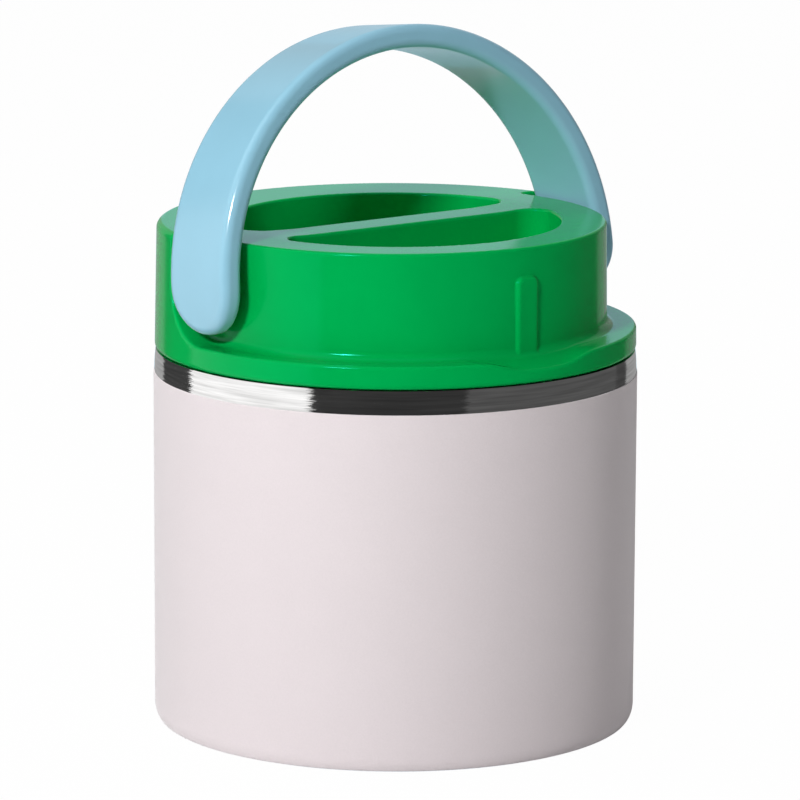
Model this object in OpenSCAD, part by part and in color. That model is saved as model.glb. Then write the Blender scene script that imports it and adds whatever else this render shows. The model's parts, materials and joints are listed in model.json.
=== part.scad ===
// Insulated food jar with a screw lid and a swinging carry handle.
// Origin: centre of the base on the standing plane, +Z up, -Y the side that
// the handle folds down to, X along the handle's pivot axis. Millimetres.

/* [Body] */
// Outer diameter of the coated body
body_d = 100; // [94:0.5:110]
// Height of the steel shoulder that the lid comes down to
shoulder_h = 77.8; // [60:0.1:140]
// Height of the bare steel band below the shoulder
band_h = 4.7; // [3:0.1:12]
// Thickness of the powder coat
coat_t = 0.15; // [0.1:0.01:0.2]
// Lower edge of the coat above the standing plane
coat_foot = 0.2; // [0.1:0.05:0.5]
// Sheet thickness of the outer shell
shell_t = 0.6; // [0.4:0.05:0.8]
// Inside radius of the bend at the shoulder's outer edge
shoulder_bend = 0.15; // [0.1:0.05:1.4]
// Width of the rounded bottom corner
base_round_w = 1.4; // [1.1:0.1:2]
// Height of the rounded bottom corner
base_round_h = 3; // [2:0.1:5]
// Width of the ring that the jar stands on
foot_w = 3; // [2:0.1:5]

/* [Base] */
// Sheet thickness of the welded base disc
base_t = 0.6; // [0.4:0.05:0.8]
// Gap between the base disc's edge and the shell's wall
base_edge_gap = 0.2; // [0.1:0.05:0.5]
// Radius of the dimple round the pump hole
dimple_r = 6; // [4:0.5:9]
// Depth of the dimple
dimple_h = 1; // [0.7:0.1:1.2]
// Radius of the pump hole
pump_hole_r = 0.8; // [0.5:0.1:1.2]
// Radius of the solder bead that closes the pump hole
seal_bead_r = 2.4; // [1.8:0.1:3]
// Height of the solder bead
seal_bead_h = 0.7; // [0.4:0.1:0.8]
// Sheet thickness of the base cover
cover_t = 0.4; // [0.3:0.05:0.5]
// Gap round the base cover
cover_gap = 0.2; // [0.1:0.05:0.4]
// Radius of the getter pill
getter_r = 4.5; // [3:0.5:6]
// Height of the getter pill
getter_h = 2.4; // [1.5:0.1:2.8]
// Distance of the getter pill from the axis
getter_offset = 18; // [13:1:30]

/* [Liner] */
// Sheet thickness of the inner liner
liner_t = 0.6; // [0.4:0.05:0.8]
// Vacuum gap between the liner and the outer shell
vacuum_gap = 3.8; // [3:0.1:6]
// Height of the liner's bottom above the standing plane
liner_base_h = 5.2; // [4.7:0.1:9]
// Corner radius at the liner's bottom
liner_corner_r = 9; // [5:0.5:14]
// Radius of the bends of the liner's shoulder
liner_bend_r = 4; // [3:0.2:5]
// Steepness of the liner's shoulder, from level
liner_slope = 45; // [35:1:55]
// Vacuum gap between the two walls of the neck
neck_gap = 1; // [0.8:0.1:1.4]
// Thickness of the reflective foil round the liner
foil_t = 0.15; // [0.1:0.01:0.2]
// Distance of the foil's upper edge below the liner's shoulder
foil_edge_drop = 2; // [1:0.5:10]

/* [Neck] */
// Width of the shoulder between the body's face and the neck
shoulder_w = 12; // [11.5:0.1:15]
// Height of the rim above the shoulder
neck_h = 9.2; // [8.8:0.1:9.6]
// Fillet between the shoulder and the neck
neck_fillet = 0.8; // [0.4:0.1:1]
// Thickness of the rolled lip on the rim
lip_t = 0.6; // [0.5:0.05:0.8]
// Edge rounding of the rolled lip
lip_round = 0.25; // [0.15:0.05:0.3]

/* [Thread] */
// Rise of the thread in one turn
thread_pitch = 4; // [3.6:0.1:4.4]
// Height of the thread ridge
thread_h = 1; // [0.8:0.05:1.1]
// Width of a ridge at its root
thread_root_w = 1.9; // [1.6:0.05:2]
// Width of a ridge at its crest
thread_crest_w = 0.8; // [0.6:0.05:1]
// Turns of each ridge
thread_turns = 1.25; // [1:0.05:1.25]
// Height of the neck thread's lower end above the shoulder
thread_start_h = 2.1; // [1.9:0.05:2.3]
// Clearance between a crest and the opposite root
thread_gap = 0.4; // [0.3:0.05:0.5]
// Clearance between the loaded flanks of the closed lid
thread_play = 0.3; // [0.2:0.05:0.4]
// Angle of the neck thread's lower end
thread_start_angle = 0; // [0:5:355]

/* [Lid] */
// How far the lid's edge lies inside the body's face
lid_step = 0.25; // [0:0.05:1]
// Height of the lid from its lower edge to its top
lid_h = 26.3; // [24:0.1:34]
// Gap between the shoulder and the lid's lower edge
lid_gap = 0.2; // [0.15:0.05:0.6]
// Inward lean of the lid's wall over its height
lid_draft = 0.5; // [0:0.1:1]
// Rounding of the lid's lower edge
lid_low_round = 1; // [0.2:0.1:1.2]
// Rounding of the lid's upper edge
lid_top_round = 1.5; // [0.8:0.1:2]
// Wall thickness of the lid
lid_wall = 2.2; // [1.6:0.1:2.6]
// Height of the flange below the ledge
flange_h = 4.8; // [4:0.1:6]
// Width of the ledge between the flange's edge and the set-back wall
ledge_w = 5.85; // [5.55:0.05:6.6]
// How far the set-back wall's centre lies behind the jar's axis
setback_shift = 0.4; // [0:0.1:0.6]
// Inward lean of the set-back wall over its height
setback_draft = 0.3; // [0:0.1:0.6]
// Fillet between the ledge and the set-back wall
ledge_fillet = 1.7; // [1:0.1:3]
// Radial thickness of the collar that carries the pivots
collar_t = 3.2; // [2.6:0.1:3.6]

/* [Grip] */
// Width of the rim between the recesses and the set-back wall
rim_w = 9.7; // [8.9:0.1:14]
// Depth of the finger recesses
recess_h = 9; // [7:0.5:10]
// Width of the grip bar between the recesses
bar_w = 8.7; // [8:0.1:14]
// Corner radius of the recesses in plan
recess_corner_r = 6; // [1.5:0.1:6.5]
// Wall thickness round the recesses
recess_wall = 2; // [1.4:0.1:2.2]

/* [Rib and scoop] */
// Width of the rib that the folded handle rests against
rib_w = 5.4; // [3:0.1:8]
// How far the rib's face stands in front of the set-back wall
rib_proud = 0.4; // [0.2:0.1:0.5]
// Height of the rib's top above the ledge
rib_h = 15.7; // [8:0.1:17]
// Corner radius of the rib's top
rib_round = 1.6; // [0.8:0.1:2]
// Width of the finger scoop at the top of the flange
scoop_w = 24; // [16:0.5:30]
// Width of the finger scoop's floor
scoop_floor_w = 13; // [10:0.5:22]
// Depth of the scoop at the flange's outer edge
scoop_h = 2.1; // [1:0.1:2.1]
// Slope of the scoop's floor
scoop_slope = 19; // [10:1:30]

/* [Lid liner] */
// Height of the liner skirt's lower edge above the lid's lower edge
skirt_lift = 0.9; // [0.4:0.1:1]
// Thickness of the liner's closing disc
disc_t = 1.4; // [1:0.1:2]
// Clearance between the liner and the lid shell
liner_fit = 0.05; // [0.02:0.01:0.1]
// Radial thickness of the liner's skirt
skirt_t = 1.9; // [1.6:0.1:2]
// Width of the lip that centres the gasket in the mouth
plug_w = 1.8; // [1.2:0.1:3]
// Depth of that lip below the closing disc
plug_h = 3.6; // [2.4:0.1:5]
// Clearance between the lip and the mouth
plug_gap = 0.6; // [0.4:0.05:1]
// Height of the seal gasket
gasket_h = 1.8; // [1.4:0.1:2.2]
// How far the gasket reaches past the rim's outer edge
gasket_over = 0.4; // [0:0.1:0.6]
// Distance of the foam's edge from the lid collar
foam_edge = 4; // [3:0.5:8]

/* [Handle] */
// Room between the set-back wall and the inside of the handle's arc
handle_room = 1.75; // [1.7:0.05:3.4]
// Height of the pivot axis above the arc's centre
arc_drop = 1.55; // [1:0.05:1.6]
// Thickness of the handle
handle_t = 4.8; // [4:0.1:5]
// Width of the handle
handle_w = 19.8; // [14:0.1:20]
// Edge rounding of the handle
handle_round = 1.8; // [0.6:0.1:1.9]
// Backward lean of the raised handle
handle_lean = 6.75; // [0:0.25:10]
// Height of the pivot axis above the ledge
pivot_h = 12.5; // [12:0.05:13.2]
// How far the pivot axis lies in front of the jar's axis
pivot_forward = 0.25; // [0.2:0.05:1]

/* [Pivots] */
// Radius of the pivot pins
pin_r = 2; // [1.6:0.1:2.4]
// Running clearance of the pins in their bores
pin_clear = 0.05; // [0.02:0.01:0.1]
// Radius of the pin's head inside the handle
pin_head_r = 3.2; // [2.6:0.1:4]
// Thickness of the pin's head
pin_head_t = 1.4; // [1:0.1:1.6]
// Cover of handle material over the pin's head
pin_cover = 1.5; // [1.2:0.1:1.8]
// Radius of the bearing pad round each bore
pad_r = 5; // [4:0.1:9]
// Clearance between the bearing pad and the handle
pad_gap = 0.35; // [0.25:0.05:0.6]
// Outer radius of the retaining clips
clip_r = 3.6; // [3:0.1:4]
// Thickness of the retaining clips
clip_t = 0.5; // [0.4:0.05:0.8]
// Depth of the groove that holds a clip
groove_h = 0.4; // [0.3:0.05:0.6]
// Clearance of a clip in its groove and at the wall
clip_gap = 0.3; // [0.2:0.05:0.5]
// Length of pin beyond the clip
pin_end = 1; // [0.6:0.1:1.6]
// Width of the slot that a clip is pushed on by
clip_slot_w = 2.6; // [2:0.1:3]

/* [Hidden] */

// Steps in a fillet, facets of a full circle and of the handle's circle, and
// steps of a thread in one turn
arc_n = 8;
$fn = 96;
handle_facets = 180;
thread_facets = 36;
// Overshoot of a cut past the face that it cuts
over = 1;
// A length beyond every face of the jar
far = 200;

// Jar body
body_r = body_d/2;
shell_r = body_r - coat_t;
coat_top = shoulder_h - band_h;
shoulder_round = shoulder_bend + shell_t;
base_flat_r = shell_r - base_round_w;
foot_in_r = base_flat_r - foot_w;
base_top = shell_t + base_t;
neck_r = body_r - shoulder_w;
rim_z = shoulder_h + neck_h;
neck_top = rim_z - lip_t;

// Jar liner
liner_r = shell_r - shell_t - vacuum_gap;
liner_neck_r = neck_r - shell_t - neck_gap;
mouth_r = liner_neck_r - liner_t;
bend_w = liner_bend_r*(1 - sin(liner_slope));
slope_w = liner_r - liner_neck_r - 2*bend_w;
slope_rise = slope_w*tan(liner_slope);
bend_rise = liner_bend_r*cos(liner_slope);
liner_bend_top = shoulder_h - shell_t - neck_fillet - liner_t;
liner_bend_base = liner_bend_top - slope_rise - 2*bend_rise;

// Lid
lid_r = body_r - lid_step;
lid_low = shoulder_h + lid_gap;
lid_top = lid_low + lid_h;
ledge_z = lid_low + flange_h;
pivot_z = ledge_z + pivot_h;
lid_inner_top = lid_top - lid_wall;
recess_floor = lid_top - recess_h;
recess_under = recess_floor - recess_wall;
setback_r = lid_r - ledge_w;
collar_r = setback_r - setback_shift;
collar_in_r = collar_r - collar_t;
recess_r = setback_r - rim_w;
rib_face = collar_r + rib_proud;

// Thread and lid liner
root_r = neck_r + thread_h + thread_gap;
skirt_r = root_r + skirt_t;
skirt_low = lid_low + skirt_lift;
disc_low = rim_z + gasket_h;
disc_top = disc_low + disc_t;
plug_r = mouth_r - plug_gap;
thread_steps = ceil(thread_facets*thread_turns);
thread_mid_w = (thread_root_w + thread_crest_w)/2;
// How deep a ridge sinks into its wall, and the steps of its tapered ends
thread_sink = 0.3;
thread_run_out = 3;
neck_thread_z = shoulder_h + thread_start_h;
lid_thread_z = skirt_low + thread_root_w/2 + thread_sink;
// The lid's ridge runs this far below the neck's ridge at the same angle
thread_lag = thread_mid_w + thread_play;
lid_thread_angle = thread_start_angle
    + 360*(lid_thread_z - neck_thread_z + thread_lag)/thread_pitch;

// Handle and pivots
handle_in_r = setback_r + handle_room;
handle_r = handle_in_r + handle_t;
leg_out_x = sqrt(pow(handle_r, 2) - pow(arc_drop, 2));
leg_in_x = sqrt(pow(handle_in_r, 2) - pow(arc_drop, 2));
end_angle = asin((handle_w/2 + over)/handle_in_r);
pad_x = sqrt(pow(handle_in_r, 2) - pow(arc_drop + pad_r, 2)) - pad_gap;
head_out_x = leg_out_x - pin_cover;
clip_reach = clip_r + pivot_forward;
clip_out_x = sqrt(pow(collar_in_r, 2) - pow(clip_reach, 2)) - clip_gap;
clip_in_x = clip_out_x - clip_t;
pin_in_x = clip_in_x - pin_end;
groove_r = pin_r - groove_h;

// Points of an arc round [cx, cz], with separate radii across and up
function bow(cx, cz, rx, rz, a0, a1, n = arc_n) =
    [for (i = [0:n]) let (a = a0 + (a1 - a0)*i/n) [cx + rx*cos(a), cz + rz*sin(a)]];
function arc(cx, cz, r, a0, a1) = bow(cx, cz, r, r, a0, a1);
function reverse(p) = [for (i = [len(p) - 1:-1:0]) p[i]];

// Face of the outer shell at a depth t below its outer surface
function shell_face(t) = concat(
    [[foot_in_r, t]],
    bow(base_flat_r, base_round_h, base_round_w - t, base_round_h - t, -90, 0),
    arc(shell_r - shoulder_round, shoulder_h - shoulder_round, shoulder_round - t, 0, 90),
    arc(neck_r + neck_fillet, shoulder_h + neck_fillet, neck_fillet + t, -90, -180),
    [[neck_r - t, neck_top]]);

// Face of the coat, t outside the shell's surface
function coat_face(t, low_angle) = concat(
    bow(base_flat_r, base_round_h, base_round_w + t, base_round_h + t, low_angle, 0),
    [[shell_r + t, coat_top]]);

// Face of the liner's cup at a distance t outside the liner
function cup_face(t) = concat(
    [[0, liner_base_h - t]],
    arc(liner_r - liner_corner_r, liner_base_h + liner_corner_r, liner_corner_r + t, -90, 0));

// Face of the whole liner, t outside its outer surface
function liner_face(t) = concat(
    cup_face(t),
    arc(liner_r - liner_bend_r, liner_bend_base, liner_bend_r + t, 0, 90 - liner_slope),
    arc(liner_neck_r + liner_bend_r, liner_bend_top, liner_bend_r - t, 270 - liner_slope, 180));

module revolve(points) {
    rotate_extrude() polygon(points);
}

module rounded_rect(w, h, r) {
    square([w - 2*r, h], center = true);
    square([w, h - 2*r], center = true);
    for (x = [-1, 1], y = [-1, 1])
        translate([x*(w/2 - r), y*(h/2 - r)])
            circle(r);
}

// A ridge that climbs round the axis, from the radius root to the radius
// crest, tapering off at both ends
module thread_ridge(root, crest, z0, angle0) {
    step = 360/thread_facets;
    taper = [for (i = [0:thread_steps]) min(1, (i + 0.5)/thread_run_out,
                                            (thread_steps - i + 0.5)/thread_run_out)];
    points = [for (i = [0:thread_steps])
        let (a = angle0 + i*step, z = z0 + thread_pitch*i*step/360,
             tip = root + (crest - root)*taper[i],
             wr = thread_root_w/2*taper[i], wc = thread_crest_w/2*taper[i])
        for (p = [[root, -wr], [tip, -wc], [tip, wc], [root, wr]])
            [p[0]*cos(a), p[0]*sin(a), z + p[1]]];
    turn = crest > root ? [3, 2, 1, 0] : [0, 1, 2, 3];
    sides = [for (i = [0:thread_steps - 1], j = [0:3])
        let (a = 4*i + turn[j], b = 4*i + turn[(j + 1)%4])
        [a, a + 4, b + 4, b]];
    last = 4*thread_steps;
    polyhedron(points, concat(sides,
        [[turn[0], turn[1], turn[2], turn[3]]],
        [[last + turn[3], last + turn[2], last + turn[1], last + turn[0]]]),
        convexity = 4);
}

// ---- Jar ----

module outer_shell() color("silver") {
    revolve(concat(shell_face(0), reverse(shell_face(shell_t))));
    thread_ridge(neck_r - thread_sink, neck_r + thread_h, neck_thread_z, thread_start_angle);
}

module powder_coat() color([0.91, 0.85, 0.84]) {
    low_angle = -asin((base_round_h - coat_foot)/(base_round_h + coat_t));
    revolve(concat(coat_face(coat_t, low_angle), reverse(coat_face(0, low_angle))));
}

module outer_base() color("gainsboro") {
    r = base_flat_r - base_edge_gap;
    revolve([[pump_hole_r, shell_t + dimple_h], [dimple_r - dimple_h, shell_t + dimple_h],
             [dimple_r, shell_t], [r, shell_t], [r, base_top],
             [dimple_r + base_t/2, base_top],
             [dimple_r - dimple_h + base_t/2, base_top + dimple_h],
             [pump_hole_r, base_top + dimple_h]]);
}

module base_cover() color("silver") {
    translate([0, 0, shell_t - cover_t])
        cylinder(r = foot_in_r - cover_gap, h = cover_t);
}

module vacuum_seal() color("slategray") {
    z = shell_t + dimple_h;
    revolve(concat([[0, z]], [[0, z - seal_bead_h]],
                   bow(seal_bead_r/2, z, seal_bead_r/2, seal_bead_h, -90, 0)));
}

module getter() color("dimgray") {
    translate([getter_offset, 0, base_top])
        cylinder(r = getter_r, h = getter_h);
}

module inner_liner() color("lightgray") {
    lip = concat(
        [[liner_neck_r, neck_top], [neck_r, neck_top]],
        arc(neck_r - lip_round, rim_z - lip_round, lip_round, 0, 90),
        arc(mouth_r + lip_round, rim_z - lip_round, lip_round, 90, 180));
    revolve(concat(liner_face(0), lip, reverse(liner_face(-liner_t))));
}

module radiation_foil() color("peru") {
    top = liner_bend_base - foil_edge_drop;
    revolve(concat(cup_face(foil_t), [[liner_r + foil_t, top], [liner_r, top]],
                   reverse(cup_face(0))));
}

// ---- Lid ----

// A recess on the +Y side of the bar, whose round side is centred at cy0
module finger_recess(grow, cy0) {
    corner = recess_corner_r + grow;
    chord = bar_w/2 - grow - cy0;
    cy = bar_w/2 + recess_corner_r - cy0;
    cx = sqrt(pow(recess_r - recess_corner_r, 2) - pow(cy, 2));
    reach = 2*recess_r/cy;
    translate([0, cy0]) {
        intersection() {
            circle(recess_r + grow);
            polygon([[-cx, chord], [cx, chord], [cx, cy], [reach*cx, reach*cy],
                     [-reach*cx, reach*cy], [-cx, cy]]);
        }
        for (side = [-1, 1])
            translate([side*cx, cy])
                circle(corner);
    }
}

module finger_recesses(grow, low, high) {
    for (turn = [0, 180])
        rotate([0, 0, turn]) translate([0, 0, low])
            linear_extrude(high - low) finger_recess(grow, setback_shift*cos(turn));
}

// The lid without its set-back, recesses and hollow
module lid_blank() {
    revolve(concat(
        [[0, lid_low]],
        arc(lid_r - lid_low_round, lid_low + lid_low_round, lid_low_round, -90, 0),
        arc(lid_r - lid_draft - lid_top_round, lid_top - lid_top_round, lid_top_round, 0, 90),
        [[0, lid_top]]));
}

// The core that stays inside the set-back
module setback_core() {
    top_r = setback_r - setback_draft - lid_top_round;
    translate([0, setback_shift, 0]) revolve(concat(
        [[0, ledge_z - over], [setback_r + ledge_fillet, ledge_z - over]],
        arc(setback_r + ledge_fillet, ledge_z + ledge_fillet, ledge_fillet, -90, -180),
        arc(top_r, lid_top - lid_top_round, lid_top_round, 0, 90),
        [[top_r, lid_top + over], [0, lid_top + over]]));
}

// Room round the handle's ends and in front of them, down to the ledge
module setback_cut() {
    difference() {
        translate([0, -pivot_forward, 0]) rotate([90, 0, 90])
            linear_extrude(2*far, center = true) {
                translate([0, pivot_z]) circle(pivot_h);
                translate([-far, ledge_z]) square([far, far]);
                translate([-far, pivot_z]) square([far + pivot_h, far]);
            }
        setback_core();
    }
}

module rib() {
    h = rib_h - rib_round;
    translate([0, -rib_face, ledge_z]) rotate([90, 0, 180])
        linear_extrude(rib_face - collar_in_r - over) {
            translate([-rib_w/2, -over]) square([rib_w, h + over]);
            translate([-rib_w/2 + rib_round, 0]) square([rib_w - 2*rib_round, rib_h]);
            for (side = [-1, 1])
                translate([side*(rib_w/2 - rib_round), h]) circle(rib_round);
        }
}

// A cut that slopes down from the rib's face to the flange's edge
module scoop() {
    w = scoop_w/2;
    f = scoop_floor_w/2;
    k = (w - f)/scoop_h;
    intersection() {
        translate([0, -lid_r, ledge_z]) rotate([90 + scoop_slope, 0, 0])
            linear_extrude(4*ledge_w, center = true)
                polygon([[-f, -scoop_h], [f, -scoop_h], [w + k*scoop_h, scoop_h],
                         [-w - k*scoop_h, scoop_h]]);
        translate([-far, -far - rib_face, lid_low])
            cube([2*far, far, far]);
    }
}

// Everything that is moulded hollow, open at the bottom
module lid_hollow() {
    difference() {
        union() {
            translate([0, 0, lid_low - over])
                cylinder(r = skirt_r + liner_fit, h = disc_top - lid_low + over);
            translate([0, 0, lid_low])
                cylinder(r = collar_in_r, h = lid_inner_top - lid_low);
        }
        finger_recesses(recess_wall, recess_under, lid_top);
    }
    difference() {
        channel(lid_inner_top);
        translate([-far, -far, ledge_z - lid_wall])
            cube([2*far, far + pivot_h + lid_wall - pivot_forward, far]);
    }
    channel(ledge_z - lid_wall);
}

module channel(top) {
    translate([0, 0, lid_low - over]) difference() {
        cylinder(r = lid_r - lid_draft - lid_wall, h = top - lid_low + over);
        translate([0, 0, -over]) cylinder(r = collar_r, h = far);
    }
}

module lid_shell() color([0.0, 0.69, 0.34]) {
    difference() {
        union() {
            difference() {
                lid_blank();
                setback_cut();
            }
            rib();
            at_pivots() translate([collar_in_r + over, 0, 0]) along_x(pad_r, pad_x - collar_in_r - over);
        }
        lid_hollow();
        finger_recesses(0, recess_floor, lid_top + over);
        scoop();
        at_pivots() translate([pin_in_x, 0, 0]) along_x(pin_r + pin_clear, leg_in_x - pin_in_x);
    }
}

module lid_liner() color("whitesmoke") {
    revolve([[0, disc_low], [plug_r - plug_w, disc_low], [plug_r - plug_w, disc_low - plug_h],
             [plug_r, disc_low - plug_h], [plug_r, disc_low], [root_r, disc_low],
             [root_r, skirt_low], [skirt_r, skirt_low], [skirt_r, disc_top], [0, disc_top]]);
    thread_ridge(root_r + thread_sink, neck_r + thread_gap, lid_thread_z, lid_thread_angle);
}

module lid_foam() color("ivory") {
    translate([0, 0, disc_top])
        cylinder(r = collar_in_r - foam_edge, h = recess_under - disc_top);
}

module seal_gasket() color("white") {
    translate([0, 0, rim_z]) difference() {
        cylinder(r = neck_r + gasket_over, h = gasket_h);
        translate([0, 0, -over]) cylinder(r = plug_r + liner_fit, h = gasket_h + 2*over);
    }
}

// ---- Handle ----

// Repeats a right-hand piece on both ends of the pivot axis
module at_pivots() {
    for (side = [0, 1])
        mirror([side, 0, 0]) translate([0, -pivot_forward, pivot_z]) children();
}

module along_x(r, length) {
    rotate([0, 90, 0]) cylinder(r = r, h = length);
}

// Moves a piece drawn round the pivot axis to its raised place
module raised() {
    translate([0, -pivot_forward, pivot_z]) rotate([-handle_lean, 0, 0]) children();
}

module handle_arc() {
    translate([0, 0, -arc_drop]) rotate([90, 0, 0])
        rotate_extrude(angle = 180 + 2*end_angle, start = -end_angle, $fn = handle_facets)
            translate([handle_r - handle_t/2, 0]) rounded_rect(handle_t, handle_w, handle_round);
}

module pin() {
    difference() {
        union() {
            translate([pin_in_x, 0, 0]) along_x(pin_r, head_out_x - pin_in_x);
            translate([head_out_x - pin_head_t, 0, 0]) along_x(pin_head_r, pin_head_t);
        }
        translate([clip_in_x, 0, 0]) difference() {
            along_x(pin_r + over, clip_t);
            along_x(groove_r, clip_t);
        }
    }
}

module clip() {
    translate([clip_in_x, 0, 0]) difference() {
        along_x(clip_r, clip_t);
        translate([-over, 0, 0]) along_x(groove_r, clip_t + 2*over);
        translate([-over, -clip_slot_w/2, -clip_r - over])
            cube([clip_t + 2*over, clip_slot_w, clip_r + over]);
    }
}

module handle() color([0.63, 0.84, 0.92]) {
    raised() difference() {
        handle_arc();
        // Round the two ends about the pivot axis
        difference() {
            translate([-far, -far, -far]) cube([2*far, 2*far, far]);
            translate([-far, 0, 0]) along_x(handle_w/2, 2*far);
        }
        for (side = [0, 1])
            mirror([side, 0, 0]) pin();
    }
}

module pivot_pin_left() color("silver") raised() mirror([1, 0, 0]) pin();
module pivot_pin_right() color("silver") raised() pin();
module retaining_clip_left() color("gray") raised() mirror([1, 0, 0]) clip();
module retaining_clip_right() color("gray") raised() clip();

outer_shell();
powder_coat();
outer_base();
base_cover();
vacuum_seal();
getter();
inner_liner();
radiation_foil();
lid_shell();
lid_liner();
lid_foam();
seal_gasket();
handle();
pivot_pin_left();
pivot_pin_right();
retaining_clip_left();
retaining_clip_right();
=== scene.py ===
"""Looks of the insulated food jar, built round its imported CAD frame.

Frame: origin at the centre of the base, +Z up, X along the handle's pivot
axis, -Y the side that the handle folds down to. Shapes are worked out in
millimetres and scaled to metres when a mesh is made.
"""
import json
import math

import bpy
import numpy as np
from mathutils import Matrix, Vector


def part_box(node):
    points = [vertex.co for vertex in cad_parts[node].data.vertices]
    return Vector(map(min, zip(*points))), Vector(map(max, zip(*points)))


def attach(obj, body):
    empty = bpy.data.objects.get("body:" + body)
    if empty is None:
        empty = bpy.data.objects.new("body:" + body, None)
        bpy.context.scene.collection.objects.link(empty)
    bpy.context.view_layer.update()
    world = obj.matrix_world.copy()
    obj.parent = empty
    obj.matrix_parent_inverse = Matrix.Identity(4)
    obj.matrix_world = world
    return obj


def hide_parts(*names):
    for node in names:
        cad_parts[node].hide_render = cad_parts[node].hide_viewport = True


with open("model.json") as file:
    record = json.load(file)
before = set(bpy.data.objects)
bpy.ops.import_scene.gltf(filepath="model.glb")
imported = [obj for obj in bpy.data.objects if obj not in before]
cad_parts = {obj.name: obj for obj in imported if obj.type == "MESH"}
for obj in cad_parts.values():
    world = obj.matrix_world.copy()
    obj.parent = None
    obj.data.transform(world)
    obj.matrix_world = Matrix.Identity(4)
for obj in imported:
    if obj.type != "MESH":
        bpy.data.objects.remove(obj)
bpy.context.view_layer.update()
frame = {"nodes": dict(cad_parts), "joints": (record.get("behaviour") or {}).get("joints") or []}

MM = 0.001


def span(node):
    """A node's lowest and highest corner in millimetres."""
    low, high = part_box(node)
    return [v/MM for v in low], [v/MM for v in high]


# ---- Sizes from the frame ----

coat_low, coat_high = span("powder_coat")
shell_high = span("outer_shell")[1]
liner_low, liner_high = span("inner_liner")
lid_low_corner, lid_high_corner = span("lid_shell")
skirt_high = span("lid_liner")[1]

coat_r, coat_top, coat_foot = coat_high[0], coat_high[2], coat_low[2]
shell_r, neck_top = shell_high[0], shell_high[2]
liner_r, liner_base, rim_z = liner_high[0], liner_low[2], liner_high[2]
lid_r, lid_low, lid_top = lid_high_corner[0], lid_low_corner[2], lid_high_corner[2]
swing = next(j for j in frame["joints"] if j["name"] == "handle_swing")
pivot_y, pivot_z = swing["pos_m"][1]/MM, swing["pos_m"][2]/MM

# ---- Sizes of the forms, in millimetres ----

SHELL_T = 0.6
SHOULDER_Z = 77.9
BAND_TAPER = 0.3
BASE_ROUND_W, BASE_ROUND_H = 1.4, 3
FOOT_W = 3
NECK_R = 38
NECK_FILLET = 0.8
LIP_ROUND = 0.25
LINER_CORNER = 9
LINER_BEND = 4
LINER_SLOPE = 45
NECK_GAP = 1

THREAD_PITCH = 4
THREAD_TURNS = 1.25
THREAD_H = 1
THREAD_ROOT_W, THREAD_CREST_W = 1.9, 0.8
THREAD_START = 79.9
THREAD_TAPER = math.radians(30)

LID_WALL = 2.2
LID_DRAFT = 0.5
LID_LOW_ROUND = 1
LID_LIFT = 0.05
LID_TOP_ROUND = 1.5
TOP_DIP, DIP_FROM, DIP_TO = 0.33, 36, 22
FLANGE_H = 4.8
SETBACK_R, SETBACK_SHIFT, SETBACK_DRAFT = 43.9, 0.4, 0.3
LEDGE_FILLET = 1.7
SETBACK_EDGE = 0.6
COLLAR_T = 3.2
PIVOT_H = 12.5
PAD_R = 5
PAD_GAP = 0.35
BORE_R = 2.05
RECESS_R, RECESS_H = 34.2, 9
RECESS_CORNER, RECESS_FILLET, RECESS_EDGE = 6, 1.2, 0.5
RECESS_WALL = 2
BAR_W = 8.7
RIB_W, RIB_FACE, RIB_H = 5.4, 44.05, 15.7
RIB_ROUND, RIB_EDGE, RIB_FILLET = 1.6, 0.8, 0.3
SCOOP_W, SCOOP_FLOOR_W, SCOOP_H = 25, 11, 2
SCOOP_SLOPE = math.radians(19)
SCOOP_SOFT = 0.8
INNER_EDGE = 0.3
SPAN_MARGIN = 1

HANDLE_R, HANDLE_T, HANDLE_W = 50.45, 4.8, 19.8
ARC_DROP = 1.55
HANDLE_ROUND = 1.8
HANDLE_LEAN = math.radians(6.75)

NET_CELL = 0.5
# A net's point may leave its place by this share of a cell, and its step is held back where the field is flat
STRAY, FLAT_SLOPE = 0.6, 0.05
SHARP_ANGLE = math.radians(35)
AROUND = 360

ledge_z = lid_low + FLANGE_H
collar_r = SETBACK_R - SETBACK_SHIFT
collar_in_r = collar_r - COLLAR_T
recess_floor = lid_top - RECESS_H
skirt_r, disc_top = skirt_high[0], skirt_high[2]


# ---- Fields: signed distances, negative inside ----

def both(a, b, r):
    """What is in a and in b, with the edge between them rounded by r."""
    return np.minimum(-r, np.maximum(a, b)) + np.hypot(np.maximum(r + a, 0), np.maximum(r + b, 0))


def either(a, b, r):
    """What is in a or in b, with the corner between them filleted by r."""
    return np.maximum(r, np.minimum(a, b)) - np.hypot(np.maximum(r - a, 0), np.maximum(r - b, 0))


def recess_field(x, y, z):
    """The two finger recesses, on both sides of the grip bar."""
    outline = both(np.hypot(x, y - SETBACK_SHIFT) - RECESS_R, BAR_W/2 - np.abs(y), RECESS_CORNER)
    return both(outline, recess_floor - z, RECESS_FILLET)


def lesser(a, b, soft):
    """The smaller of a and b, with a soft change over."""
    return np.minimum(a, b) - np.maximum(soft - np.abs(a - b), 0)**2/(4*soft)


def scoop_depth(x, y):
    """How far the scoop in the ledge's front lies below the ledge."""
    sides = (SCOOP_W/2 - np.abs(x))*2*SCOOP_H/(SCOOP_W - SCOOP_FLOOR_W)
    floor = SCOOP_H/math.cos(SCOOP_SLOPE) - (y + lid_r)*math.tan(SCOOP_SLOPE)
    return -lesser(-lesser(floor, sides, SCOOP_SOFT), 0, SCOOP_SOFT)


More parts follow.
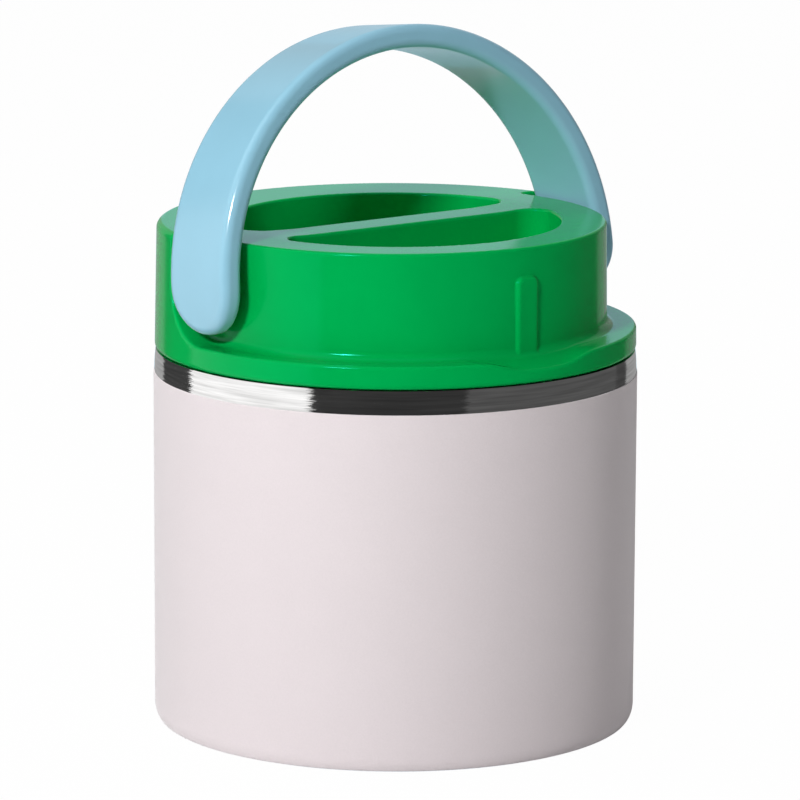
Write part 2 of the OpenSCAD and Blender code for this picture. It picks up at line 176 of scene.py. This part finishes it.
def setback_field(x, y, z):
    """What the set-back leaves: the core, and what lies behind and below the handle's sweep."""
    rise = (z - ledge_z)/(lid_top - ledge_z)
    core = np.hypot(x, y - SETBACK_SHIFT) - (SETBACK_R - SETBACK_DRAFT*rise)
    sweep = np.hypot(np.maximum(y - pivot_y, 0), np.maximum(pivot_z - z, 0)) - PIVOT_H
    return either(core, scoop_depth(x, y) - sweep, LEDGE_FILLET)


def rib_field(x, y, z):
    high = ledge_z + RIB_H
    side = both(np.abs(x) - RIB_W/2, z - high, RIB_ROUND)
    front = both(side, -y - RIB_FACE, RIB_EDGE)
    return np.maximum(np.maximum(front, y + collar_in_r), ledge_z - LID_WALL/2 - z)


def hollow_field(x, y, z):
    """The inside of the lid's moulding, open at the bottom."""
    r = np.hypot(x, y)
    core = np.maximum(r - collar_in_r, z - (lid_top - LID_WALL))
    core = np.maximum(core, RECESS_WALL - recess_field(x, y, z))
    seat = np.maximum(r - skirt_r, z - disc_top)
    ring = np.maximum(r - (lid_r - LID_DRAFT - LID_WALL), collar_r - r)
    roof = np.where(y > PIVOT_H + LID_WALL + pivot_y, lid_top - LID_WALL, ledge_z - LID_WALL)
    return np.minimum(np.minimum(core, seat), np.maximum(ring, z - roof))


def lid_field(x, y, z):
    r = np.hypot(x, y)
    wall = r - (lid_r - LID_DRAFT*(z - lid_low)/(lid_top - lid_low))
    near = np.clip((r - DIP_FROM)/(DIP_TO - DIP_FROM), 0, 1)
    top = z - lid_top + TOP_DIP*near*near*(3 - 2*near)
    blank = both(both(wall, top, LID_TOP_ROUND), lid_low + LID_LIFT - z, LID_LOW_ROUND)
    lid = both(blank, setback_field(x, y, z), SETBACK_EDGE)
    from_pivot = np.hypot(y - pivot_y, z - pivot_z)
    pad = np.maximum(from_pivot - PAD_R, np.abs(x) - pad_x)
    pad = np.maximum(pad, collar_in_r - np.abs(x))
    lid = either(lid, pad, INNER_EDGE)
    lid = either(lid, rib_field(x, y, z), RIB_FILLET)
    lid = both(lid, -recess_field(x, y, z), RECESS_EDGE)
    lid = both(lid, -hollow_field(x, y, z), INNER_EDGE)
    bore = np.maximum(from_pivot - BORE_R, collar_in_r/2 - np.abs(x))
    return np.maximum(lid, -bore)


def handle_field(x, y, z):
    s, c = math.sin(-HANDLE_LEAN), math.cos(HANDLE_LEAN)
    across = c*(y - pivot_y) + s*(z - pivot_z)
    along = c*(z - pivot_z) - s*(y - pivot_y)
    band = np.abs(np.hypot(x, along + ARC_DROP) - (HANDLE_R - HANDLE_T/2)) - HANDLE_T/2
    side = np.hypot(across, np.minimum(along, 0)) - HANDLE_W/2
    return both(band, side, HANDLE_ROUND)


pad_x = math.sqrt((HANDLE_R - HANDLE_T)**2 - (ARC_DROP + PAD_R)**2) - PAD_GAP


# ---- Meshes ----

def slopes(field, p, step=0.01):
    """The field's gradient at the points p."""
    x, y, z = p.T
    return np.stack([field(x + step, y, z) - field(x - step, y, z),
                     field(x, y + step, z) - field(x, y - step, z),
                     field(x, y, z + step) - field(x, y, z - step)], 1)/(2*step)


def beside(quads, p):
    """For each point, the mean of the points that share an edge with it."""
    here, there = quads.ravel(), np.roll(quads, 1, axis=1).ravel()
    here, there = np.concatenate([here, there]), np.concatenate([there, here])
    count = np.bincount(here, minlength=len(p))
    sums = np.stack([np.bincount(here, p[there, i], len(p)) for i in range(3)], 1)
    return np.where(count[:, None] > 0, sums/np.maximum(count, 1)[:, None], p)


def net(field, low, high, cell):
    """Points, outward normals and quads of the surface on which the field is 0."""
    counts = [int(math.ceil((h - lo)/cell)) + 1 for lo, h in zip(low, high)]
    axes = [lo + cell*np.arange(n) for lo, n in zip(low, counts)]
    value = field(*np.meshgrid(*axes, indexing="ij", sparse=True))
    inside = value < 0
    corners = sum(inside[i:i + counts[0] - 1, j:j + counts[1] - 1, k:k + counts[2] - 1].astype(np.int8)
                  for i in (0, 1) for j in (0, 1) for k in (0, 1))
    cells = np.argwhere((corners > 0) & (corners < 8))
    total, weight = np.zeros((len(cells), 3)), np.zeros((len(cells), 1))
    for axis in range(3):
        others = [a for a in range(3) if a != axis]
        for u in (0, 1):
            for v in (0, 1):
                start = cells.copy()
                start[:, others[0]] += u
                start[:, others[1]] += v
                end = start.copy()
                end[:, axis] += 1
                a, b = value[tuple(start.T)], value[tuple(end.T)]
                crosses = (a < 0) != (b < 0)
                share = np.where(crosses, a/np.where(crosses, a - b, 1), 0)
                point = start + (end - start)*share[:, None]
                total += np.where(crosses[:, None], point, 0)
                weight += crosses[:, None]
    p = np.array(low) + cell*total/weight
    index = -np.ones(corners.shape, np.int64)
    index[tuple(cells.T)] = np.arange(len(cells))
    quads = []
    for axis in range(3):
        u, v = (axis + 1) % 3, (axis + 2) % 3
        near = np.take(inside, range(counts[axis] - 1), axis)
        beyond = np.take(inside, range(1, counts[axis]), axis)
        edges = np.argwhere(near != beyond)
        edges = edges[(edges[:, u] > 0) & (edges[:, v] > 0)
                      & (edges[:, u] < counts[u] - 1) & (edges[:, v] < counts[v] - 1)]
        ring = []
        for du, dv in ((1, 1), (0, 1), (0, 0), (1, 0)):
            c = edges.copy()
            c[:, u] -= du
            c[:, v] -= dv
            ring.append(index[tuple(c.T)])
        quad = np.stack(ring, 1)
        outward = near[tuple(edges.T)]
        quads.append(np.where(outward[:, None], quad, quad[:, ::-1]))
    quads = np.concatenate(quads)
    home = p.copy()
    for evened in (True, True, True, False, False, False):
        if evened:
            p = (p + beside(quads, p))/2
        g = slopes(field, p)
        p = p - (field(*p.T)/np.maximum((g*g).sum(1), FLAT_SLOPE))[:, None]*g
        p = np.clip(p, home - STRAY*cell, home + STRAY*cell)
    g = slopes(field, p)
    normals = g/np.maximum(np.linalg.norm(g, axis=1), 1e-9)[:, None]
    return p, normals, quads.tolist()


def add_piece(name, points, faces, body, nodes, material, normals=None):
    """A mesh piece in metres that rides on a body and stands for CAD nodes."""
    mesh = bpy.data.meshes.new(name)
    mesh.from_pydata((np.asarray(points)*MM).tolist(), [], [tuple(f) for f in faces])
    mesh.validate()
    mesh.shade_smooth()
    if normals is None:
        mesh.set_sharp_from_angle(angle=SHARP_ANGLE)
    else:
        mesh.normals_split_custom_set_from_vertices(normals.tolist())
    mesh.materials.append(material)
    piece = bpy.data.objects.new(name, mesh)
    bpy.context.scene.collection.objects.link(piece)
    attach(piece, body)
    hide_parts(*nodes)
    return piece


def bow(cx, cz, rx, rz, start, end, steps=12):
    """Points of an arc round (cx, cz), with angles in degrees."""
    angles = np.radians(np.linspace(start, end, steps + 1))
    return [(cx + rx*math.cos(a), cz + rz*math.sin(a)) for a in angles]


def arc(cx, cz, r, start, end, steps=12):
    return bow(cx, cz, r, r, start, end, steps)


def line(a, b, step):
    """Points from a towards b, without b, about a step apart."""
    count = max(1, round(math.dist(a, b)/step))
    return [(a[0] + (b[0] - a[0])*i/count, a[1] + (b[1] - a[1])*i/count) for i in range(count)]


def turned(profile, shift=None):
    """Points and faces of a closed profile of (r, z) turned round the axis.

    shift(angle, r, z) gives how far each point moves outward."""
    r, z = np.array(profile, float).T
    angle = 2*math.pi*np.arange(AROUND)/AROUND
    radius = np.broadcast_to(r, (AROUND, len(r))).copy()
    if shift is not None:
        radius += shift(angle[:, None], r[None, :], z[None, :])
    points = np.stack([radius*np.cos(angle)[:, None], radius*np.sin(angle)[:, None],
                       np.broadcast_to(z, radius.shape)], 2).reshape(-1, 3)
    n = len(r)
    faces, used = [], {}
    on_axis = [i for i in range(n) if r[i] < 1e-6]
    for j in range(AROUND):
        nxt = (j + 1) % AROUND
        for i in range(n):
            k = (i + 1) % n
            if i in on_axis and k in on_axis:
                continue
            a, b = [(0 if i in on_axis else column)*n + i for column in (j, nxt)]
            c, d = [(0 if k in on_axis else column)*n + k for column in (nxt, j)]
            if i in on_axis:
                faces.append((a, c, d))
            elif k in on_axis:
                faces.append((a, b, c))
            else:
                faces.append((a, b, c, d))
    for f in faces:
        for v in f:
            used.setdefault(v, len(used))
    kept = np.array(sorted(used, key=used.get))
    return points[kept], [tuple(used[v] for v in f) for f in faces]


# ---- Materials ----

def node(tree, kind, settings=None, **inputs):
    """A shader node with its properties set and its inputs set or linked."""
    made = tree.nodes.new("ShaderNode" + kind)
    for key, value in (settings or {}).items():
        setattr(made, key, value)
    for key, value in inputs.items():
        name = key.replace("_", " ")
        socket = made.inputs[int(key[1:])] if key[0] == "i" and key[1:].isdigit() else made.inputs[name]
        if isinstance(value, bpy.types.NodeSocket):
            tree.links.new(value, socket)
        else:
            socket.default_value = value
    return made


def new_material(name, color, roughness, metallic=0.0, **sockets):
    """A material whose constants sit on the shader's own sockets."""
    made = bpy.data.materials.new(name)
    made.use_nodes = True
    made.diffuse_color = (*color, 1)
    shader = made.node_tree.nodes["Principled BSDF"]
    shader.inputs["Base Color"].default_value = (*color, 1)
    shader.inputs["Roughness"].default_value = roughness
    shader.inputs["Metallic"].default_value = metallic
    for key, value in sockets.items():
        shader.inputs[key.replace("_", " ")].default_value = value
    return made, made.node_tree, shader


def stretched(tree, vector, stretch):
    return node(tree, "VectorMath", {"operation": "MULTIPLY"}, i0=vector, i1=stretch).outputs[0]


def place(tree, stretch):
    """The point of the surface in the piece's own metres, stretched along each axis."""
    return stretched(tree, node(tree, "TexCoord").outputs["Object"], stretch)


def noise(tree, vector, detail=2.0, rough=0.5):
    made = node(tree, "TexNoise", None, Vector=vector, Scale=1.0, Detail=detail, Roughness=rough)
    return made.outputs["Fac"]


def between(tree, value, low, high, start=0.3, end=0.7):
    """value from start to end, mapped to low to high."""
    made = node(tree, "MapRange", None, Value=value, From_Min=start, From_Max=end, To_Min=low, To_Max=high)
    return made.outputs["Result"]


def tinted(tree, shader, value, dark, light):
    """Base colour that varies with value from dark to light."""
    mixed = node(tree, "Mix", {"data_type": "RGBA"}, i0=value, i6=(*dark, 1), i7=(*light, 1))
    tree.links.new(mixed.outputs[2], shader.inputs["Base Color"])


def scaled(color, share):
    return tuple(min(1.0, c*share) for c in color)


def moulded(name, color, roughness, spread=0.04, grain=0.15, depth=0.004, **sockets):
    """Injection-moulded plastic: slow colour drift, and a fine grain in gloss and height."""
    made, tree, shader = new_material(name, color, roughness, **sockets)
    drift = noise(tree, place(tree, (60, 60, 60)), 3.0)
    tinted(tree, shader, between(tree, drift, 0, 1), scaled(color, 1 - spread), scaled(color, 1 + spread))
    fine = noise(tree, place(tree, (1000/grain,)*3), 1.0)
    gloss = noise(tree, place(tree, (400, 400, 400)), 4.0, 0.6)
    tree.links.new(between(tree, gloss, roughness*0.85, roughness*1.15), shader.inputs["Roughness"])
    bump = node(tree, "Bump", None, Strength=1.0, Distance=depth*MM, Height=fine)
    tree.links.new(bump.outputs[0], shader.inputs["Normal"])
    return made


# How the streaks run on from a wall to a flat face
STREAK_SLANT = -0.6


def turned_metal(name, color, roughness, swing=0.02, fine=6000, anisotropy=0.6):
    """Metal brushed round the axis: streaks along the circumference tilt the normal and vary the gloss."""
    made, tree, shader = new_material(name, color, roughness, 1.0, Anisotropic=anisotropy,
                                      Anisotropic_Rotation=0.25)
    tangent = node(tree, "Tangent", {"direction_type": "RADIAL", "axis": "Z"}).outputs[0]
    tree.links.new(tangent, shader.inputs["Tangent"])
    where = node(tree, "TexCoord").outputs["Object"]
    split = node(tree, "SeparateXYZ", None, Vector=where)
    level = node(tree, "CombineXYZ", None, X=split.outputs[0], Y=split.outputs[1])
    radius = node(tree, "VectorMath", {"operation": "LENGTH"}, i0=level.outputs[0]).outputs["Value"]
    across = node(tree, "Math", {"operation": "MULTIPLY_ADD"}, i0=radius, i1=STREAK_SLANT,
                  i2=split.outputs[2])
    spot = node(tree, "CombineXYZ", None, X=split.outputs[0], Y=split.outputs[1], Z=across.outputs[0])
    streak = noise(tree, stretched(tree, spot.outputs[0], (220, 220, fine)), 4.0, 0.65)
    wide = noise(tree, stretched(tree, spot.outputs[0], (60, 60, fine/4)), 3.0)
    tilt = between(tree, streak, -swing, swing)
    pushed = node(tree, "VectorMath", {"operation": "SCALE"}, i0=tangent, Scale=tilt)
    normal = node(tree, "NewGeometry").outputs["Normal"]
    summed = node(tree, "VectorMath", {"operation": "ADD"}, i0=normal, i1=pushed.outputs[0])
    final = node(tree, "VectorMath", {"operation": "NORMALIZE"}, i0=summed.outputs[0])
    tree.links.new(final.outputs[0], shader.inputs["Normal"])
    tinted(tree, shader, between(tree, wide, 0, 1), scaled(color, 0.74), scaled(color, 1.08))
    tree.links.new(between(tree, streak, roughness*0.75, roughness*1.3), shader.inputs["Roughness"])
    return made


def powder(name, color):
    """Powder coat: a fine orange-peel grain with specks a shade lighter and darker."""
    made, tree, shader = new_material(name, color, 0.62, Specular_IOR_Level=0.35, Sheen_Weight=0.35,
                                      Sheen_Roughness=0.6)
    grain = noise(tree, place(tree, (2600, 2600, 2600)), 2.0, 0.6)
    peel = noise(tree, place(tree, (900, 900, 900)), 2.0)
    cloud = noise(tree, place(tree, (70, 70, 70)), 3.0)
    mixed = node(tree, "Math", {"operation": "MULTIPLY_ADD"}, i0=cloud, i1=0.5,
                 i2=between(tree, grain, 0, 0.5))
    tinted(tree, shader, mixed.outputs[0], scaled(color, 0.965), scaled(color, 1.03))
    tree.links.new(between(tree, grain, 0.55, 0.72), shader.inputs["Roughness"])
    rise = node(tree, "Math", {"operation": "MULTIPLY_ADD"}, i0=peel, i1=2.0, i2=grain)
    bump = node(tree, "Bump", None, Strength=1.0, Distance=0.012*MM, Height=rise.outputs[0])
    tree.links.new(bump.outputs[0], shader.inputs["Normal"])
    return made


# The finishes' own colours, as linear RGB
PINK = (0.77, 0.697, 0.715)
GREEN = (0.0, 0.41, 0.078)
GREEN_GLINT = (0.05, 1.0, 1.0, 1.0)
BLUE = (0.295, 0.575, 0.725)
STEEL = (0.82, 0.815, 0.81)

pink_coat = powder("pink_powder_coat", PINK)
band_steel = turned_metal("brushed_band_steel", STEEL, 0.08, 0.03)
liner_steel = turned_metal("satin_liner_steel", scaled(STEEL, 0.95), 0.22)
base_steel = turned_metal("turned_base_steel", scaled(STEEL, 0.93), 0.25)
green_plastic = moulded("green_lid_plastic", GREEN, 0.13, Specular_IOR_Level=0.2, Specular_Tint=GREEN_GLINT)
blue_plastic = moulded("blue_handle_plastic", BLUE, 0.16, 0.02, 0.5, 0.002, Specular_IOR_Level=0.5,
                        Sheen_Weight=0.4, Sheen_Roughness=0.3)
white_plastic = moulded("white_liner_plastic", (0.80, 0.81, 0.80), 0.42, 0.02)
silicone = moulded("clear_silicone", (0.78, 0.79, 0.78), 0.35, 0.02, Transmission_Weight=0.25)
foam = moulded("closed_cell_foam", (0.82, 0.80, 0.72), 0.85, 0.05, 0.6, 0.08)
copper_foil = turned_metal("copper_foil", (0.85, 0.50, 0.36), 0.2)
solder = moulded("solder_bead", (0.5, 0.51, 0.53), 0.35, 0.08, 0.4, 0.02, Metallic=1.0)
getter_metal = moulded("sintered_getter", (0.2, 0.2, 0.21), 0.7, 0.1, 0.3, 0.05, Metallic=0.8)
pin_steel = turned_metal("turned_pin_steel", scaled(STEEL, 0.9), 0.2)


def finish_node(name, material):
    """Gives a CAD node that stays in the scene its material."""
    mesh = frame["nodes"][name].data
    mesh.materials.clear()
    mesh.materials.append(material)


# ---- Jar ----

def shell_face(t):
    """Face of the outer shell at a depth t below its surface, from the foot up."""
    flat_r, rises = shell_r - BASE_ROUND_W, np.linspace(0, 1, 13)
    return ([(flat_r - FOOT_W, t)]
            + bow(flat_r, BASE_ROUND_H, BASE_ROUND_W - t, BASE_ROUND_H - t, -90, 0)
            + [(shell_r - t - BAND_TAPER*h*h, coat_top + h*(SHOULDER_Z - t - coat_top)) for h in rises]
            + arc(NECK_R + NECK_FILLET, SHOULDER_Z + NECK_FILLET, NECK_FILLET + t, -90, -180)
            + line((NECK_R - t, SHOULDER_Z + NECK_FILLET), (NECK_R - t, neck_top), 0.2)[1:]
            + [(NECK_R - t, neck_top)])


def ridge(angle, z, start_z, height):
    """Height of a rolled thread's ridge over the neck at an angle and a height z."""
    low, high = THREAD_CREST_W/2, THREAD_ROOT_W/2
    total = 0
    for turn in (0, 1):
        travel = angle + 2*math.pi*turn
        away = np.abs(z - start_z - THREAD_PITCH*travel/(2*math.pi))
        side = np.clip((high - away)/(high - low), 0, 1)
        ends = np.clip(np.minimum(travel, 2*math.pi*THREAD_TURNS - travel)/THREAD_TAPER, 0, 1)
        total = np.maximum(total, (side*side*(3 - 2*side))*(ends*ends*(3 - 2*ends)))
    return height*total


def make_shell():
    outside, inside = shell_face(0), shell_face(SHELL_T)

    def rolled(angle, r, z):
        on_neck = (z > SHOULDER_Z + NECK_FILLET) & (r > NECK_R - SHELL_T/2)
        return np.where(on_neck, ridge(angle, z, THREAD_START, THREAD_H), 0)

    points, faces = turned(outside + inside[::-1], shift=rolled)
    return add_piece("steel_shell", points, faces, "jar", ["outer_shell"], band_steel)


def make_coat():
    """The coat wraps the shell from just above the foot to the bare band, with a rounded upper edge."""
    flat_r, t = shell_r - BASE_ROUND_W, coat_r - shell_r
    low = -math.degrees(math.asin((BASE_ROUND_H - coat_foot)/(BASE_ROUND_H + t)))
    outside = bow(flat_r, BASE_ROUND_H, BASE_ROUND_W + t, BASE_ROUND_H + t, low, 0, 20)
    inside = bow(flat_r, BASE_ROUND_H, BASE_ROUND_W, BASE_ROUND_H, low, 0, 20)
    lip = bow(shell_r, coat_top - t, t, t, 0, 90, 5)
    points, faces = turned(outside + lip + inside[::-1])
    return add_piece("powder_coat_skin", points, faces, "jar", ["powder_coat"], pink_coat)


def cup_face(t):
    return ([(0, liner_base - t)]
            + arc(liner_r - LINER_CORNER, liner_base + LINER_CORNER, LINER_CORNER + t, -90, 0))


def liner_face(t):
    neck = NECK_R - SHELL_T - NECK_GAP
    slope = math.radians(LINER_SLOPE)
    top = SHOULDER_Z - SHELL_T - NECK_FILLET - SHELL_T
    rise = (liner_r - neck - 2*LINER_BEND*(1 - math.sin(slope)))*math.tan(slope)
    base = top - rise - 2*LINER_BEND*math.cos(slope)
    return (cup_face(t)
            + arc(liner_r - LINER_BEND, base, LINER_BEND + t, 0, 90 - LINER_SLOPE)
            + arc(neck + LINER_BEND, top, LINER_BEND - t, 270 - LINER_SLOPE, 180))


def make_liner():
    neck = NECK_R - SHELL_T - NECK_GAP
    mouth = neck - SHELL_T
    lip = ([(neck, neck_top), (NECK_R, neck_top)]
           + arc(NECK_R - LIP_ROUND, rim_z - LIP_ROUND, LIP_ROUND, 0, 90, 5)
           + arc(mouth + LIP_ROUND, rim_z - LIP_ROUND, LIP_ROUND, 90, 180, 5))
    points, faces = turned(liner_face(0) + lip + liner_face(-SHELL_T)[::-1])
    return add_piece("steel_liner", points, faces, "jar", ["inner_liner"], liner_steel)


# ---- Lid and handle ----

def make_lid():
    reach = lid_r + SPAN_MARGIN
    low, high = (-reach, -reach, lid_low - SPAN_MARGIN), (reach, reach, lid_top + SPAN_MARGIN)
    points, normals, faces = net(lid_field, low, high, NET_CELL)
    return add_piece("lid_moulding", points, faces, "lid", ["lid_shell"],
                     green_plastic, normals)


def make_handle():
    low, high = span("handle")
    low, high = [v - SPAN_MARGIN for v in low], [v + SPAN_MARGIN for v in high]
    points, normals, faces = net(handle_field, low, high, NET_CELL)
    return add_piece("handle_moulding", points, faces, "handle", ["handle"],
                     blue_plastic, normals)


make_shell()
make_coat()
make_liner()
make_lid()
make_handle()
for name, material in (("outer_base", base_steel), ("base_cover", base_steel), ("vacuum_seal", solder),
                       ("getter", getter_metal), ("radiation_foil", copper_foil),
                       ("lid_liner", white_plastic), ("lid_foam", foam), ("seal_gasket", silicone),
                       ("pivot_pin_left", pin_steel), ("pivot_pin_right", pin_steel),
                       ("retaining_clip_left", pin_steel), ("retaining_clip_right", pin_steel)):
    finish_node(name, material)


# ---- Camera, lights and floor ----

CAMERA_AZIMUTH = math.radians(-37.1)
CAMERA_DISTANCE, CAMERA_HEIGHT = 1.0631, 0.27833
CAMERA_PITCH, CAMERA_YAW, CAMERA_ROLL = 0.19684, 0.00092, 0.00447
CAMERA_LENS, CAMERA_SENSOR = 235.45, 36


def make_camera():
    """The camera stands at the photograph's viewing angle."""
    ahead = Vector((math.sin(CAMERA_YAW)*math.cos(CAMERA_PITCH), math.cos(CAMERA_YAW)*math.cos(CAMERA_PITCH),
                    -math.sin(CAMERA_PITCH)))
    right = Vector((math.cos(CAMERA_YAW), -math.sin(CAMERA_YAW), 0))
    up = right.cross(ahead)
    c, s = math.cos(CAMERA_ROLL), math.sin(CAMERA_ROLL)
    right, up = c*right + s*up, c*up - s*right
    data = bpy.data.cameras.new("camera")
    data.lens, data.sensor_width, data.sensor_fit = CAMERA_LENS, CAMERA_SENSOR, "HORIZONTAL"
    camera = bpy.data.objects.new("camera", data)
    turn = Matrix.Rotation(CAMERA_AZIMUTH, 4, "Z")
    axes = Matrix((right, up, -ahead)).transposed().to_4x4()
    camera.matrix_world = turn @ Matrix.Translation((0, -CAMERA_DISTANCE, CAMERA_HEIGHT)) @ axes
    bpy.context.scene.collection.objects.link(camera)
    bpy.context.scene.camera = camera


def around(azimuth, distance, height):
    """A place at an angle round the jar, counted to the right from the camera, in metres."""
    a = math.radians(azimuth) + CAMERA_AZIMUTH
    return Vector((distance*math.sin(a), -distance*math.cos(a), height))


def soft_box(name, azimuth, elevation, distance, width, height, watts, mirrored):
    """A lamp that faces the middle of the jar, and shows in reflections if mirrored."""
    e = math.radians(elevation)
    data = bpy.data.lights.new(name, "AREA")
    data.shape, data.size, data.size_y, data.energy = "RECTANGLE", width, height, watts
    lamp = bpy.data.objects.new(name, data)
    lamp.location = around(azimuth, distance*math.cos(e), AIM_HEIGHT + distance*math.sin(e))
    toward = Vector((0, 0, AIM_HEIGHT)) - lamp.location
    lamp.rotation_euler = toward.to_track_quat("-Z", "Y").to_euler()
    lamp.visible_glossy = mirrored
    bpy.context.scene.collection.objects.link(lamp)


def card(name, first, last, light):
    """A curved screen round the jar that only reflections see, between two angles."""
    steps = max(2, math.ceil((last - first)/CARD_STEP))
    spots = [around(first + (last - first)*i/steps, CARD_DISTANCE, 0) for i in range(steps + 1)]
    points = [(p.x, p.y, z) for p in spots for z in (-CARD_HEIGHT, CARD_HEIGHT)]
    mesh = bpy.data.meshes.new(name)
    mesh.from_pydata(points, [], [(2*i, 2*i + 2, 2*i + 3, 2*i + 1) for i in range(steps)])
    material = bpy.data.materials.new(name)
    material.use_nodes = True
    material.cycles.emission_sampling = "NONE"
    tree = material.node_tree
    tree.nodes.clear()
    glow = node(tree, "Emission", None, Color=(light, light, light, 1), Strength=1.0)
    out = node(tree, "OutputMaterial")
    tree.links.new(glow.outputs[0], out.inputs["Surface"])
    mesh.materials.append(material)
    screen = bpy.data.objects.new(name, mesh)
    bpy.context.scene.collection.objects.link(screen)
    screen.visible_camera = screen.visible_diffuse = screen.visible_shadow = False
    screen.visible_transmission = screen.visible_volume_scatter = False


def make_world():
    """White to the camera, a pale blue backdrop in reflections, and a plain fill on the object."""
    world = bpy.data.worlds.new("studio")
    world.use_nodes = True
    bpy.context.scene.world = world
    tree = world.node_tree
    ray = node(tree, "LightPath")
    seen = node(tree, "Math", {"operation": "MAXIMUM"}, i0=ray.outputs["Is Camera Ray"],
                i1=ray.outputs["Is Transmission Ray"])
    base = node(tree, "Mix", {"data_type": "RGBA"}, i0=ray.outputs["Is Glossy Ray"],
                i6=(*scaled((1, 1, 1), WORLD_FILL), 1), i7=(*BACKDROP, 1))
    color = node(tree, "Mix", {"data_type": "RGBA"}, i0=seen.outputs[0], i6=base.outputs[2], i7=(1, 1, 1, 1))
    background = tree.nodes["Background"]
    tree.links.new(color.outputs[2], background.inputs["Color"])
    background.inputs["Strength"].default_value = 1.0


def make_floor():
    """A plain pale floor that keeps the jar's shadow and doesn't show in reflections."""
    corners = [(x*FLOOR_HALF, y*FLOOR_HALF, 0) for x, y in ((-1, -1), (1, -1), (1, 1), (-1, 1))]
    mesh = bpy.data.meshes.new("floor")
    mesh.from_pydata(corners, [], [(0, 1, 2, 3)])
    floor = bpy.data.objects.new("floor", mesh)
    material, tree, shader = new_material("pale_floor", FLOOR_COLOR, 0.9)
    glow = node(tree, "Emission", None, Color=(1, 1, 1, 1), Strength=1.0)
    ray = node(tree, "LightPath")
    seen = node(tree, "Math", {"operation": "MULTIPLY"}, i0=ray.outputs["Is Camera Ray"], i1=FLOOR_GLOW)
    mixed = node(tree, "MixShader", None, i0=seen.outputs[0], i1=shader.outputs[0], i2=glow.outputs[0])
    tree.links.new(mixed.outputs[0], tree.nodes["Material Output"].inputs["Surface"])
    mesh.materials.append(material)
    bpy.context.scene.collection.objects.link(floor)
    floor.visible_glossy = False


AIM_HEIGHT = 0.07
CARD_DISTANCE, CARD_HEIGHT, CARD_STEP = 1.5, 4, 3
WORLD_FILL = 0.105
BACKDROP = (0.48, 0.69, 0.82)
FLOOR_HALF, FLOOR_COLOR, FLOOR_GLOW = 3.0, (0.78, 0.78, 0.78), 0.985
# The studio that the jar mirrors: name, first and last angle, light
CARDS = (("pale_left", -170, -143, 0.43), ("dark_left", -143, -112, 0.06),
         ("white_panel", -112, -39.5, 1.15), ("dark_front", -39.5, 33, 0.04),
         ("grey_right", 33, 128, 0.1), ("dark_right", 128, 141.5, 0.065), ("pale_right", 141.5, 170, 0.34))
# The lamps: name, azimuth, elevation, distance, width, height, watts, whether reflections show it
LAMPS = (("key", -27.5, 29, 1.2, 0.2, 0.1, 10.0, True), ("high_fill", -115, 66, 1.0, 0.9, 0.9, 4.5, False),
         ("right_fill", 130, 8, 1.0, 0.9, 0.9, 2.9, False))

bpy.context.scene.view_settings.view_transform = "Standard"
make_camera()
make_world()
make_floor()
for screen in CARDS:
    card(*screen)
for lamp in LAMPS:
    soft_box(*lamp)
